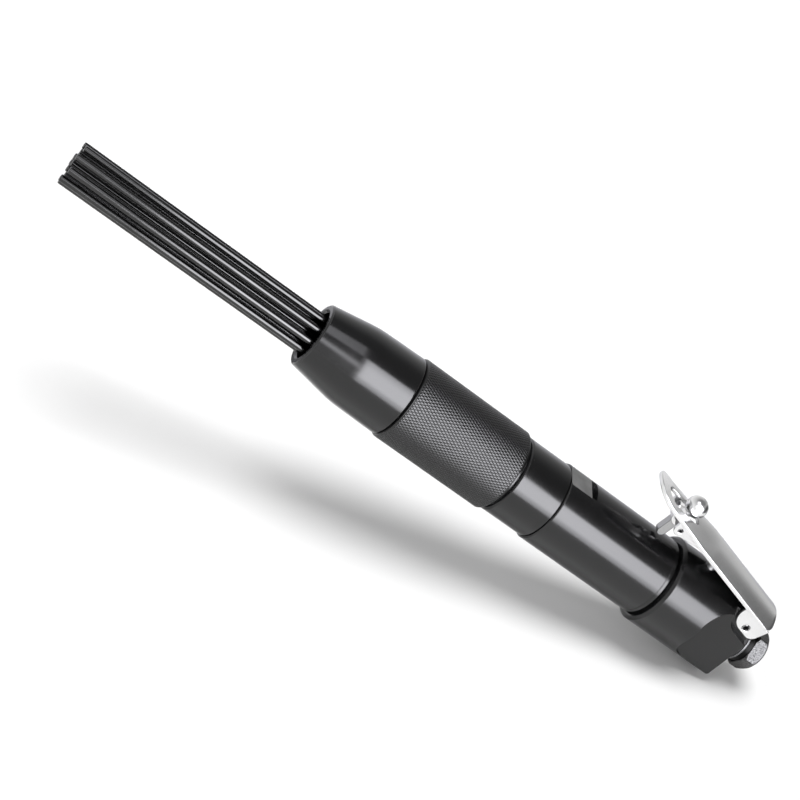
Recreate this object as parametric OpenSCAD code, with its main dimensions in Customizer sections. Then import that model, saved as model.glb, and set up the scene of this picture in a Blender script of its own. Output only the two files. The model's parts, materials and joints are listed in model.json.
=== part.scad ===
// Straight air-driven needle scaler with a locking throttle lever.
// X runs along the tool: the needles point to -X and the air inlet opens to +X.
// The origin is the centre of the inlet's mouth, and the lever is on +Z.

/* [Needles] */
// Thickness of a needle
needle_d = 3; // [2:0.5:4]
// Length of a needle with its head
needle_len = 180; // [150:1:200]
// Needles in the outer ring
outer_needles = 9; // [6:1:9]
// Needles in the inner ring
inner_needles = 3; // [1:1:3]
// Radius of the outer ring of needles
outer_ring_r = 8.25; // [7.5:0.05:8.6]
// Turn of the outer ring about the axis
outer_turn = 10; // [0:1:40]
// Radius of the inner ring of needles
inner_ring_r = 3; // [2.6:0.1:3.6]
// How far a needle can float back in its holder
needle_float = 4; // [2:0.1:6]

/* [Nose] */
// Radius of the nose at its mouth
nose_tip_r = 14.65; // [13.5:0.05:16]
// Radius where the cone meets the body of the nose
nose_shoulder_r = 18.2; // [17.2:0.1:18.6]
// Radius of the nose where it meets the collar
nose_rear_r = 18.7; // [18:0.1:19.2]
// Length of the cone
nose_cone_len = 22.1; // [18:0.1:30]
// Length of the body behind the cone
nose_body_len = 22.6; // [16:0.1:30]
// Radius of the mouth's bore
nose_bore_r = 11.25; // [10.6:0.05:12]

/* [Collar] */
// Outer radius of the knurled collar
collar_r = 19.4; // [18.8:0.1:21]
// Length of the collar
collar_len = 56.3; // [45:0.1:70]

/* [Cylinder] */
// Radius of the smooth band between the collar and the mid seam
band_r = 18.25; // [17.5:0.05:19]
// Length of the band
band_len = 22; // [16:0.5:30]
// Radius of the piston's bore
bore_r = 10; // [9:0.1:10.5]
// Length of the piston
piston_len = 34; // [28:0.5:36]
// Travel of the piston
piston_stroke = 25; // [18:0.5:27]

/* [Barrel] */
// Outer radius of the barrel
barrel_r = 19; // [18.4:0.1:20]
// Length of the barrel
barrel_len = 60.4; // [52:0.1:75]
// Length of the wrench flats
flat_len = 11.5; // [8:0.5:16]
// Wall of the barrel
barrel_wall = 3.2; // [2.6:0.1:3.6]
// Depth of the wrench flats
flat_depth = 1; // [0.5:0.1:1.4]

/* [Head] */
// Radius of the throttle head
head_r = 21.5; // [20.8:0.1:23]
// Length of the throttle head
head_len = 49.5; // [46:0.1:56]
// Distance between the two flat sides of the head
head_flats = 27; // [26:0.1:29]
// Length of the flat sides
head_flat_len = 26; // [22:0.1:30]

/* [Lever] */
// Angle of the lever at rest
lever_angle = 14.7; // [13:0.1:16]
// Width of the lever
lever_w = 25; // [24:0.1:26]
// Thickness of the sheet
lever_t = 1.8; // [1.2:0.1:2.2]
// Height of the crown across the lever
lever_crown = 5; // [4.4:0.1:5.4]
// From the latch pin to the front end
lever_tip = 22.2; // [20:0.1:28]
// Height of the pivot over the axis
pivot_z = 13.6; // [13.2:0.1:14.2]
// From the rear face of the head to the pivot
pivot_back = 6.2; // [5:0.1:8]
// Diameter of the pivot pin
pivot_d = 3.5; // [3:0.1:4]

/* [Latch] */
// From the pivot to the latch pin along the lever
latch_reach = 60.8; // [58:0.1:63]
// Diameter of the ball
ball_d = 10; // [8:0.1:10.4]
// Diameter of the post
post_d = 4.6; // [4:0.1:5]

/* [Throttle] */
// From the pivot forward to the throttle pin
throttle_arm = 28.3; // [26:0.1:31]
// Diameter of the throttle pin
throttle_d = 4.8; // [4:0.1:5.4]
// Diameter of the throttle valve's disc
valve_d = 14; // [13:0.1:15]

/* [Inlet] */
// Hexagon of the inlet bushing across its flats
hex_af = 20; // [18.5:0.1:22]
// Length of the hexagon
hex_len = 6.4; // [4:0.1:7]
// Diameter of the inlet's bore, drilled for a quarter inch pipe thread
inlet_d = 11.8; // [11.4:0.1:12]
// Depth of the inlet's bore
inlet_depth = 12.2; // [11.6:0.1:13]

/* [Hidden] */
$fn = 96;
overrun = 1;

// Clearances
thread_gap = 0.15;
run_gap = 0.05;
rest_gap = 0.3;
float_gap = 0.4;
hole_gap = 0.15;

// Inlet bushing, washer and strainer
washer_t = 0.9;
washer_edge = 0.4;
boss_len = 3.2;
neck_len = 4.5;
neck_step = 0.4;
thread_r = 8.5;
thread_len = 13.2;
web_t = 2;
web_hole_r = 3.2;
hex_chamfer = 1.8;
hex_face_inset = 1.3;
spring_pocket_r = 5.2;
strainer_t = 0.8;
strainer_ledge = 1;
strainer_hole_r = 0.7;
strainer_ring_r = 3.4;
strainer_holes = 8;
strainer_r = inlet_d / 2 - strainer_ledge;
hex_corner_r = hex_af / 2 / cos(30);
boss_r = hex_af / 2;
neck_r = hex_af / 2 - neck_step;

// Stations along the axis, from the inlet's mouth to the nose
seam_gap = 2.6;
collar_gap = 1.7;
nose_gap = 0.9;
x_hex = -hex_len;
x_neck = x_hex - neck_len;
x_boss = x_neck - washer_t;
x_head_rear = x_boss - boss_len;
x_head_front = x_head_rear - head_len;
x_barrel_rear = x_head_front - seam_gap;
x_seam = x_barrel_rear - barrel_len;
x_band = x_seam - band_len;
x_collar_rear = x_band - collar_gap;
x_collar = x_collar_rear - collar_len;
x_nose_rear = x_collar - nose_gap;
x_shoulder = x_nose_rear - nose_body_len;
x_nose = x_shoulder - nose_cone_len;

// Nose and collar
spigot_r = 16.5;
chamber_r = 13.5;
mouth_chamfer = 0.9;
tip_chamfer = 0.7;
mouth_len = 13.6;
blend_len = 4;
blend_steps = 6;
cylinder_thread_len = 29.3;
collar_chamfer = 1.1;
collar_lip = 2;
collar_lip_drop = 0.3;
x_joint = x_collar_rear - cylinder_thread_len;
x_spring_seat = x_nose + mouth_len;

// Needle holder, anvil, buffer and return spring
head_t = 2;
needle_head_over = 0.8;
needle_head_r = needle_d / 2 + needle_head_over;
needle_chamfer = 0.35;
rest_float = 1.6;
anvil_t = 5;
anvil_shank_r = 7;
holder_plate_t = 5.5;
holder_skirt_t = 2.2;
buffer_t = 2.5;
buffer_r = 12.4;
return_wire = 2;
return_turns = 8;
holder_r = chamber_r - rest_gap;
return_r = chamber_r - rest_gap - return_wire / 2;
needle_count = outer_needles + inner_needles;
x_anvil_rear = x_joint - rest_gap;
x_anvil = x_anvil_rear - anvil_t;
x_plate_rear = x_anvil - head_t - needle_float - float_gap;
x_plate = x_plate_rear - holder_plate_t;

// Cylinder, distributor and piston
liner_r = barrel_r - barrel_wall - thread_gap;
guide_len = 17;
head_spigot_len = 16.8;
seat_t = 7.5;
cover_t = 4.5;
band_chamfer = 0.8;
chamber_depth = 2.4;
disc_t = 1.2;
disc_r = 7.3;
disc_rest_gap = 0.1;
port_r = 3;
side_port_r = 1.3;
side_port_ring_r = 5.2;
side_ports = 4;
dowel_share = 0.26;
dowel_r = dowel_share * (liner_r - bore_r);
dowel_ring_r = (liner_r + bore_r) / 2;
dowel_bite = 3;
exhaust_port_r = 1.2;
piston_rest_gap = 0.5;
piston_nose_r = 6.5;
piston_nose_len = 6;
piston_cup_r = 6;
piston_cup_len = 8;
piston_groove = 0.5;
strike_gap = 1;
x_seat_rear = x_head_front - head_spigot_len;
x_seat = x_seat_rear - seat_t;
x_cylinder_rear = x_seat - cover_t;
x_bore = x_joint + guide_len;
x_piston_rear = x_cylinder_rear - piston_rest_gap;
x_piston = x_piston_rear - piston_len;
x_anvil_end = x_piston - piston_stroke - strike_gap;

// Barrel
barrel_bore_r = liner_r + thread_gap;
slot_w = 2.6;
slot_cutter_r = 8;
slot_break = 0.6;
slot_depth = barrel_wall + slot_break;
barrel_chamfer = 0.5;
x_slot = x_seam + flat_len;

// Head
head_rim = 1.2;
head_edge = 0.6;
ring_inset = 1.8;
ring_r = barrel_r - ring_inset;
pocket_gap = 2.3;
flat_corner_r = 11.5;
flat_rise = 5;
inlet_bore_len = 16.5;
passage_r = 5.2;
x_pivot = x_head_rear - pivot_back;
x_valve = x_head_rear - inlet_bore_len;

// Lever, in its own frame at the pivot: +X runs to the rear and +Z out of the lever's top
edge_v = 7.2;
lever_rear = 8;
ear_r = 7.9;
ear_t = 1.6;
ear_inset = 0.2;
ear_fore = 1.3;
ear_low = 2.9;
ear_v = ear_r - ear_low;
heel_r = 3.8;
heel_back = 3.7;
tip_crown = 0.6;
fade_back = 20.8;
fade_fore = 11.2;
curl_fore = 7.2;
curl_r = 95;
sheet_rows = 26;
sheet_columns = 12;
web_drop = 0.2;
taper_back = 10.8;
shoulder_fore = 5.2;
shoulder_w = 22.4;
tip_r = 10.6;
flange_outer = 10.8;
flange_t = 1.6;
flange_back = 17.8;
flange_fore = 4.2;
flange_low = 0.6;
latch_pin_v = 3.6;
slot_gap = 0.3;
slot_len = 19.2;
latch_slot_w = 10.8;
rear_corner_r = 3;
lever_reach = latch_reach + lever_tip;
fade_start = latch_reach - fade_back;
fade_end = latch_reach + fade_fore;
curl_start = latch_reach + curl_fore;
taper_start = latch_reach - taper_back;
shoulder_reach = latch_reach + shoulder_fore;
flange_tail = latch_reach - flange_back;
flange_front = latch_reach + flange_fore;
slot_start = latch_reach - ball_d / 2 - slot_gap;
slot_end = slot_start + slot_len;
under_v = edge_v + lever_crown - lever_t;
web_v = edge_v - web_drop;
ear_outer = lever_w / 2 - ear_inset;
pocket_floor = ear_outer - ear_t - rest_gap;
pocket_share = 2 * pocket_floor / lever_w;
relief_v = edge_v + lever_crown * (1 - pocket_share * pocket_share) - lever_t - rest_gap;

// Latch
latch_pin_r = 1.1;
latch_boss_r = 3.6;
latch_boss_w = 6;
ball_rise = 8.7;
ball_lean = 15;
foot_lean = 4;
foot_gap = 1.2;
pin_wall = 0.5;
pin_slit = 0.7;
latch_wire = 0.6;
latch_turns = 4;
latch_leg = 8;
latch_coil_r = 1.7;
foot_t = 4;
foot_w = 4.5;
foot_start = 3;
latch_x = x_pivot - latch_reach * cos(lever_angle) + latch_pin_v * sin(lever_angle);
latch_z = pivot_z + latch_reach * sin(lever_angle) + latch_pin_v * cos(lever_angle);
foot_len = (latch_z - barrel_r - foot_gap - foot_t / 2) / cos(foot_lean) + foot_t / 2;
// Turns the spring's leg to lie along the lever's underside
latch_spring_turn = lever_angle - 90;

// Throttle pin and valve
stem_r = 1.75;
stem_reach = 2.5;
seal_t = 1.2;
seal_land = 1.8;
valve_disc_t = 2.6;
valve_rest_gap = 0.1;
valve_boss_r = 2.6;
valve_boss_t = 1.5;
valve_wire = 1;
valve_turns = 4;
valve_coil_r = 4;
seal_section = 1.6;
seal_groove_z = 13;
seal_outer_r = throttle_d / 2 + seal_section + 2 * run_gap;
x_throttle = x_pivot - throttle_arm;
x_seal_rear = x_valve + valve_rest_gap + seal_t;
x_disc_rear = x_seal_rear + valve_disc_t;
x_web = -inlet_depth - strainer_t;
x_spring_rear = x_web - web_t;
x_bushing = x_boss - thread_len;
// Height of the lever's underside over the throttle pin
throttle_u = (x_pivot + under_v * sin(lever_angle) - x_throttle) / cos(lever_angle);
throttle_top = pivot_z + throttle_u * sin(lever_angle) + under_v * cos(lever_angle) - rest_gap;

// Rings and sides of a wound spring
rings_per_turn = 8;
wire_sides = 6;

function needle_name(i) = str("needle_", i < 10 ? "0" : "", i);

// A round bar along the axis
module rod(x0, x1, r) {
    translate([x0, 0, 0]) rotate([0, 90, 0]) cylinder(h = x1 - x0, r = r);
}

// A turned piece: its points are [radius, station]
module turned(points) {
    rotate([0, 90, 0]) rotate_extrude() polygon(points);
}

// A bar across the tool, centred on the axis plane
module cross_rod(length, r) {
    rotate([90, 0, 0]) cylinder(h = length, r = r, center = true);
}

// A plate that stands on edge: its outline is in X and Z, and its outer face lies at y
module edge_plate(y, t) {
    translate([0, y, 0]) rotate([90, 0, 0]) linear_extrude(t) children();
}

// A rolled spring pin along Y, with its slit
module roll_pin(length, r) {
    difference() {
        cross_rod(length, r);
        cross_rod(length + 2 * overrun, r - pin_wall);
        translate([-pin_slit / 2, -length / 2 - overrun, 0]) cube([pin_slit, length + 2 * overrun, 2 * r]);
    }
}

// Points that round the corner b between a and c, over a length on each side
function toward(b, a, length) = b + (a - b) * length / norm(a - b);
function rounded(a, b, c, length) = [
    for (i = [0 : blend_steps])
        let (t = i / blend_steps, p = toward(b, a, length), q = toward(b, c, length))
            p * (1 - t) * (1 - t) + b * 2 * t * (1 - t) + q * t * t
];

// A wound wire along X: its rings follow a helix, and a leg may run straight out of its first end
function coil_centre(t, r, lead) = [lead * t / 360, r * cos(t), r * sin(t)];
function coil_tangent(t, r, lead) =
    let (d = [lead / (2 * PI), -r * sin(t), r * cos(t)]) d / norm(d);
function wire_ring(centre, n, d, wire_r) = [
    for (k = [0 : wire_sides - 1])
        centre + wire_r * (cos(360 * k / wire_sides) * n + sin(360 * k / wire_sides) * cross(d, n))
];
function coil_ring(t, r, lead, wire_r) =
    wire_ring(coil_centre(t, r, lead), [0, cos(t), sin(t)], coil_tangent(t, r, lead), wire_r);
function coil_gap(turns, r, lead, wire) = min([
    for (i = [0 : rings_per_turn * (turns - 1)])
        let (t = 360 * i / rings_per_turn)
            norm(coil_centre(t + 360, r, lead) - coil_centre(t, r, lead)) - wire
]);

module coil(turns, r, lead, wire, leg = 0) {
    last = rings_per_turn * turns;
    rings = concat(
        leg > 0 ? [wire_ring([0, r, -leg], [0, 1, 0], [0, 0, 1], wire / 2)] : [],
        [for (i = [0 : last]) coil_ring(360 * i / rings_per_turn, r, lead, wire / 2)]
    );
    count = len(rings);
    points = [for (ring = rings) for (p = ring) p];
    sides = [
        for (i = [0 : count - 2]) for (k = [0 : wire_sides - 1])
            let (a = i * wire_sides + k, b = i * wire_sides + (k + 1) % wire_sides)
                each [[a, b, b + wire_sides], [a, b + wire_sides, a + wire_sides]]
    ];
    first_cap = [for (k = [1 : wire_sides - 2]) [0, k + 1, k]];
    end = (count - 1) * wire_sides;
    last_cap = [for (k = [1 : wire_sides - 2]) [end, end + k, end + k + 1]];
    echo(least_gap = coil_gap(turns, r, lead, wire));
    polyhedron(points, concat(sides, first_cap, last_cap));
}

// Needles: the outer ring first, then the inner one
function needle_angle(i) = i <= outer_needles
    ? 360 * i / outer_needles + outer_turn
    : 360 * (i - outer_needles) / inner_needles + 90;
function needle_ring(i) = i <= outer_needles ? outer_ring_r : inner_ring_r;
function needle_place(i) = needle_ring(i) * [cos(needle_angle(i)), sin(needle_angle(i))];
function needle_rest(i) = rest_float * ((5 * i) % needle_count) / needle_count;

module needle(i) {
    rear = x_plate_rear + head_t + needle_rest(i);
    tip = rear - needle_len;
    r = needle_d / 2;
    color("dimgray") translate([0, needle_place(i)[0], needle_place(i)[1]]) turned([
        [0, tip],
        [r - needle_chamfer, tip],
        [r, tip + needle_chamfer],
        [r, rear - head_t],
        [needle_head_r, rear - head_t],
        [needle_head_r, rear],
        [0, rear]
    ]);
}

module nose() {
    mouth = [nose_tip_r, x_nose + tip_chamfer];
    shoulder = [nose_shoulder_r, x_shoulder];
    back = [nose_rear_r, x_nose_rear];
    color("black") turned(concat(
        [[nose_bore_r + mouth_chamfer, x_nose], [nose_tip_r - tip_chamfer, x_nose], mouth],
        rounded(mouth, shoulder, back, blend_len),
        [back, [spigot_r, x_nose_rear], [spigot_r, x_joint], [chamber_r, x_joint]],
        [[chamber_r, x_spring_seat], [nose_bore_r, x_spring_seat], [nose_bore_r, x_nose + mouth_chamfer]]
    ));
}

module collar() {
    inner = spigot_r + thread_gap;
    lip = collar_r - collar_lip_drop;
    color("black") turned([
        [inner, x_collar],
        [lip - collar_chamfer, x_collar],
        [lip, x_collar + collar_chamfer],
        [lip, x_collar + collar_lip],
        [collar_r, x_collar + collar_lip + collar_lip_drop],
        [collar_r, x_collar_rear - collar_lip - collar_lip_drop],
        [lip, x_collar_rear - collar_lip],
        [lip, x_collar_rear - collar_chamfer],
        [lip - collar_chamfer, x_collar_rear],
        [inner, x_collar_rear]
    ]);
}

module hammer_cylinder() {
    color("black") difference() {
        turned([
            [anvil_shank_r + run_gap, x_joint + buffer_t],
            [buffer_r + hole_gap, x_joint + buffer_t],
            [buffer_r + hole_gap, x_joint],
            [spigot_r, x_joint],
            [spigot_r, x_band],
            [band_r - band_chamfer, x_band],
            [band_r, x_band + band_chamfer],
            [band_r, x_seam - barrel_chamfer],
            [band_r - barrel_chamfer, x_seam],
            [liner_r, x_seam],
            [liner_r, x_cylinder_rear],
            [bore_r, x_cylinder_rear],
            [bore_r, x_bore],
            [anvil_shank_r + run_gap, x_bore]
        ]);
        translate([x_slot + slot_w / 2, 0, -barrel_r]) cylinder(h = 2 * barrel_r, r = exhaust_port_r);
        dowel_hole(x_cylinder_rear - dowel_bite, x_cylinder_rear + overrun);
    }
}

module dowel_hole(x0, x1) {
    translate([0, dowel_ring_r, 0]) rod(x0, x1, dowel_r + run_gap);
}

module barrel() {
    color("black") difference() {
        turned([
            [barrel_bore_r, x_seam],
            [barrel_r - barrel_chamfer, x_seam],
            [barrel_r, x_seam + barrel_chamfer],
            [barrel_r, x_barrel_rear - barrel_chamfer],
            [barrel_r - barrel_chamfer, x_barrel_rear],
            [barrel_bore_r, x_barrel_rear]
        ]);
        for (side = [0, 1]) mirror([0, 0, side]) {
            translate([x_seam - overrun, -barrel_r, barrel_r - flat_depth])
                cube([flat_len + overrun, 2 * barrel_r, flat_depth + overrun]);
            translate([0, 0, barrel_r - slot_depth + slot_cutter_r])
                rod(x_slot, x_slot + slot_w, slot_cutter_r);
        }
    }
}

module seam_ring() {
    color("#161616") turned([
        [liner_r + thread_gap, x_barrel_rear],
        [ring_r, x_barrel_rear],
        [ring_r, x_head_front],
        [liner_r + thread_gap, x_head_front]
    ]);
}

// One of the head's flat sides: its two front corners are round
module head_flat_outline() {
    x_flat = x_head_rear - head_flat_len;
    x_corner = x_flat + flat_corner_r;
    for (side = [-1, 1]) translate([x_corner, side * flat_rise]) circle(flat_corner_r);
    translate([x_flat, -flat_rise]) square([flat_corner_r, 2 * flat_rise]);
    translate([x_corner, -head_r]) square([head_flat_len - flat_corner_r + overrun, 2 * head_r]);
}

// The pocket round an ear, open to the rear, in the lever's frame
module pocket_outline() {
    r = ear_r + pocket_gap;
    translate([-ear_fore, ear_v]) circle(r);
    translate([-ear_fore, ear_v - r]) square([head_len, 2 * r]);
}

module head() {
    color("black") difference() {
        turned([
            [passage_r, x_seat_rear],
            [liner_r, x_seat_rear],
            [liner_r, x_head_front],
            [head_r - head_rim, x_head_front],
            [head_r, x_head_front + head_rim],
            [head_r, x_head_rear - head_edge],
            [head_r - head_edge, x_head_rear],
            [boss_r, x_head_rear],
            [boss_r, x_boss],
            [thread_r + thread_gap, x_boss],
            [thread_r + thread_gap, x_valve],
            [passage_r, x_valve]
        ]);
        for (side = [0, 1]) mirror([0, side, 0]) {
            edge_plate(head_flats / 2 + head_r, head_r) head_flat_outline();
            lever_frame() edge_plate(pocket_floor + head_r, head_r) pocket_outline();
        }
        lever_frame() translate([-head_len, -head_r, relief_v]) cube([2 * head_len, 2 * head_r, head_r]);
        translate([x_pivot, 0, pivot_z]) cross_rod(2 * head_r, pivot_d / 2 + run_gap);
        translate([x_throttle, 0, 0]) cylinder(h = head_r + overrun, r = throttle_d / 2 + run_gap);
        translate([x_throttle, 0, seal_groove_z]) cylinder(h = seal_section + run_gap, r = seal_outer_r);
    }
}

module needle_holder() {
    color("slategray") difference() {
        turned([
            [0, x_plate],
            [holder_r, x_plate],
            [holder_r, x_anvil],
            [holder_r - holder_skirt_t, x_anvil],
            [holder_r - holder_skirt_t, x_plate_rear],
            [0, x_plate_rear]
        ]);
        for (i = [1 : needle_count])
            translate([0, needle_place(i)[0], needle_place(i)[1]])
                rod(x_plate - overrun, x_plate_rear + overrun, needle_d / 2 + hole_gap);
    }
}

module return_spring() {
    room = x_plate - x_spring_seat - 2 * rest_gap;
    lead = (room - return_wire) / return_turns;
    color("gray") translate([x_spring_seat + rest_gap + return_wire / 2, 0, 0])
        coil(return_turns, return_r, lead, return_wire);
}

module anvil() {
    color("slategray") turned([
        [0, x_anvil],
        [holder_r, x_anvil],
        [holder_r, x_anvil_rear],
        [anvil_shank_r, x_anvil_rear],
        [anvil_shank_r, x_anvil_end],
        [0, x_anvil_end]
    ]);
}

module anvil_buffer() {
    color("#1c1c1c") turned([
        [anvil_shank_r + rest_gap, x_joint],
        [buffer_r, x_joint],
        [buffer_r, x_joint + buffer_t],
        [anvil_shank_r + rest_gap, x_joint + buffer_t]
    ]);
}

module piston() {
    r = bore_r - run_gap;
    middle = x_piston + piston_len / 2;
    color("silver") turned([
        [0, x_piston],
        [piston_nose_r, x_piston],
        [piston_nose_r, x_piston + piston_nose_len],
        [r, x_piston + piston_nose_len],
        [r, middle],
        [r - piston_groove, middle],
        [r - piston_groove, middle + piston_groove],
        [r, middle + piston_groove],
        [r, x_piston_rear],
        [piston_cup_r, x_piston_rear],
        [piston_cup_r, x_piston_rear - piston_cup_len],
        [0, x_piston_rear - piston_cup_len]
    ]);
}

// Ports that lead air round the disc, and the hole for the dowel
module distributor_holes(x0, x1) {
    rod(x0 - overrun, x1 + overrun, port_r);
    for (i = [0 : side_ports - 1])
        rotate([360 * i / side_ports, 0, 0]) translate([0, 0, side_port_ring_r])
            rod(x0 - overrun, x1 + overrun, side_port_r);
    dowel_hole(x0 - overrun, x1 + overrun);
}

module valve_cover() {
    color("gray") difference() {
        rod(x_cylinder_rear, x_seat, liner_r);
        distributor_holes(x_cylinder_rear, x_seat);
    }
}

module valve_disc() {
    color("silver") rod(x_seat + disc_rest_gap, x_seat + disc_rest_gap + disc_t, disc_r);
}

module valve_seat() {
    color("gray") difference() {
        rod(x_seat, x_seat_rear, liner_r);
        rod(x_seat - overrun, x_seat + chamber_depth, disc_r + rest_gap);
        distributor_holes(x_seat, x_seat_rear);
    }
}

module valve_dowel() {
    color("silver") translate([0, dowel_ring_r, 0]) rod(x_cylinder_rear - dowel_bite, x_seat_rear, dowel_r);
}

// Places its children in the lever's frame
module lever_frame() {
    translate([x_pivot, 0, pivot_z]) rotate([0, lever_angle, 0]) children();
}

// The sheet of the lever: its crown fades out towards the front, where it curls up a little
function smooth(t) = t <= 0 ? 0 : t >= 1 ? 1 : t * t * (3 - 2 * t);
function faded(u) = smooth((u - fade_start) / (fade_end - fade_start));
function crown_at(u) = lever_crown + (tip_crown - lever_crown) * faded(u);
function curl_at(u) = u < curl_start ? 0 : (u - curl_start) * (u - curl_start) / (2 * curl_r);
function sheet_point(u, s, drop) =
    [-u, s * lever_w / 2, edge_v + crown_at(u) * (1 - s * s) + curl_at(u) - drop];
function sheet_grid(drop) = [
    for (i = [0 : sheet_rows]) for (j = [0 : sheet_columns])
        sheet_point(
            -lever_rear - overrun + (lever_rear + lever_reach + 2 * overrun) * i / sheet_rows,
            2 * j / sheet_columns - 1,
            drop
        )
];

// A closed slab between two grids of the same size, the first one on top
module slab(top, bottom, rows, columns) {
    w = columns + 1;
    under = len(top);
    function quad(a, b, c, d) = [[a, b, c], [a, c, d]];
    faces = [
        for (i = [0 : rows - 1]) for (j = [0 : columns - 1])
            let (a = i * w + j, b = a + w)
                each concat(
                    quad(a, b, b + 1, a + 1),
                    quad(under + a, under + a + 1, under + b + 1, under + b)
                ),
        for (i = [0 : rows - 1])
            let (a = i * w, b = a + w, c = a + columns, d = b + columns)
                each concat(quad(b, a, under + a, under + b), quad(c, d, under + d, under + c)),
        for (j = [0 : columns - 1])
            let (a = j, b = rows * w + j)
                each concat(
                    quad(a, a + 1, under + a + 1, under + a),
                    quad(b + 1, b, under + b, under + b + 1)
                )
    ];
    polyhedron(concat(top, bottom), faces);
}

// The lever from above: parallel run, taper and round front
module lever_plan() {
    tip_x = tip_r - lever_reach;
    half = lever_w / 2;
    difference() {
        union() {
            polygon([
                [lever_rear, -half + rear_corner_r],
                [lever_rear, half - rear_corner_r],
                [lever_rear - rear_corner_r, half],
                [-taper_start, half],
                [-shoulder_reach, shoulder_w / 2],
                [tip_x, tip_r],
                [tip_x, -tip_r],
                [-shoulder_reach, -shoulder_w / 2],
                [-taper_start, -half],
                [lever_rear - rear_corner_r, -half]
            ]);
            translate([tip_x, 0]) circle(tip_r);
            for (side = [-1, 1])
                translate([lever_rear - rear_corner_r, side * (half - rear_corner_r)])
                    circle(rear_corner_r);
        }
        translate([-slot_end + latch_slot_w / 2, 0]) circle(latch_slot_w / 2);
        translate([-slot_end + latch_slot_w / 2, -latch_slot_w / 2])
            square([slot_end - slot_start - latch_slot_w / 2, latch_slot_w]);
    }
}

module lever_sheet() {
    intersection() {
        slab(sheet_grid(0), sheet_grid(lever_t), sheet_rows, sheet_columns);
        linear_extrude(lever_reach) lever_plan();
    }
}

module ear_outline() {
    difference() {
        union() {
            translate([-ear_fore, ear_v]) circle(ear_r);
            translate([heel_back, heel_r - ear_low]) circle(heel_r);
            polygon([
                [-ear_fore, -ear_low],
                [heel_back, -ear_low],
                [heel_back + heel_r, heel_r - ear_low],
                [lever_rear, web_v],
                [-ear_fore, web_v]
            ]);
        }
        translate([-lever_reach, web_v]) square([2 * lever_reach, 2 * ear_r]);
        circle(pivot_d / 2 + 2 * run_gap);
    }
}

module flange_outline() {
    boss = latch_pin_v - flange_low;
    difference() {
        union() {
            translate([-latch_reach, latch_pin_v]) circle(boss);
            polygon([
                [-flange_tail, web_v],
                [-latch_reach, flange_low],
                [-latch_reach - boss, latch_pin_v],
                [-flange_front, web_v]
            ]);
        }
        translate([-latch_reach, latch_pin_v]) circle(latch_pin_r + run_gap);
    }
}

module lever() {
    color("silver") lever_frame() {
        lever_sheet();
        for (side = [0, 1]) mirror([0, side, 0]) {
            edge_plate(ear_outer, ear_t) ear_outline();
            edge_plate(flange_outer, flange_t) flange_outline();
        }
    }
}

module lever_pin() {
    color("dimgray") translate([x_pivot, 0, pivot_z]) roll_pin(2 * ear_outer, pivot_d / 2);
}

module latch() {
    r = foot_t / 2;
    color("silver") translate([latch_x, 0, latch_z]) difference() {
        union() {
            rotate([0, foot_lean, 0]) translate([0, 0, r - foot_len]) {
                translate([-r, -foot_w / 2, 0]) cube([foot_t, foot_w, foot_len - r - foot_start]);
                cross_rod(foot_w, r);
            }
            rotate([0, ball_lean, 0]) {
                cylinder(h = ball_rise, r = post_d / 2);
                translate([0, 0, ball_rise]) sphere(ball_d / 2);
            }
            cross_rod(latch_boss_w, latch_boss_r);
        }
        cross_rod(latch_boss_w + 2 * overrun, latch_pin_r + run_gap);
    }
}

module latch_pin() {
    color("dimgray") translate([latch_x, 0, latch_z]) roll_pin(2 * flange_outer, latch_pin_r);
}

module latch_spring() {
    inner = flange_outer - flange_t;
    room = inner - latch_boss_w / 2 - 2 * rest_gap;
    lead = (room - latch_wire) / latch_turns;
    color("gray") translate([latch_x, rest_gap + latch_wire / 2 - inner, latch_z])
        rotate([0, 0, 90]) rotate([latch_spring_turn, 0, 0])
            coil(latch_turns, latch_coil_r, lead, latch_wire, latch_leg);
}

module throttle_pin() {
    r = throttle_d / 2;
    bottom = stem_r + rest_gap;
    color("silver") translate([x_throttle, 0, 0]) {
        translate([0, 0, bottom]) cylinder(h = throttle_top - r - bottom, r = r);
        translate([0, 0, throttle_top - r]) sphere(r);
    }
}

module pin_seal() {
    inner = throttle_d / 2 + run_gap;
    color("#1c1c1c") translate([x_throttle, 0, seal_groove_z + seal_section / 2]) rotate_extrude()
        translate([inner + seal_section / 2, 0]) circle(seal_section / 2);
}

module throttle_valve() {
    r = valve_d / 2;
    x_stem = x_throttle - stem_reach;
    color("goldenrod") turned([
        [0, x_stem],
        [stem_r, x_stem],
        [stem_r, x_seal_rear],
        [r, x_seal_rear],
        [r, x_disc_rear],
        [valve_boss_r, x_disc_rear],
        [valve_boss_r, x_disc_rear + valve_boss_t],
        [0, x_disc_rear + valve_boss_t]
    ]);
}

module valve_seal() {
    outer = passage_r + seal_land - run_gap;
    color("#1c1c1c") turned([
        [passage_r, x_valve + valve_rest_gap],
        [outer, x_valve + valve_rest_gap],
        [outer, x_seal_rear],
        [passage_r, x_seal_rear]
    ]);
}

module valve_spring() {
    room = x_spring_rear - x_disc_rear - 2 * valve_rest_gap;
    lead = (room - valve_wire) / valve_turns;
    color("gray") translate([x_disc_rear + valve_rest_gap + valve_wire / 2, 0, 0])
        coil(valve_turns, valve_coil_r, lead, valve_wire);
}

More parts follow.
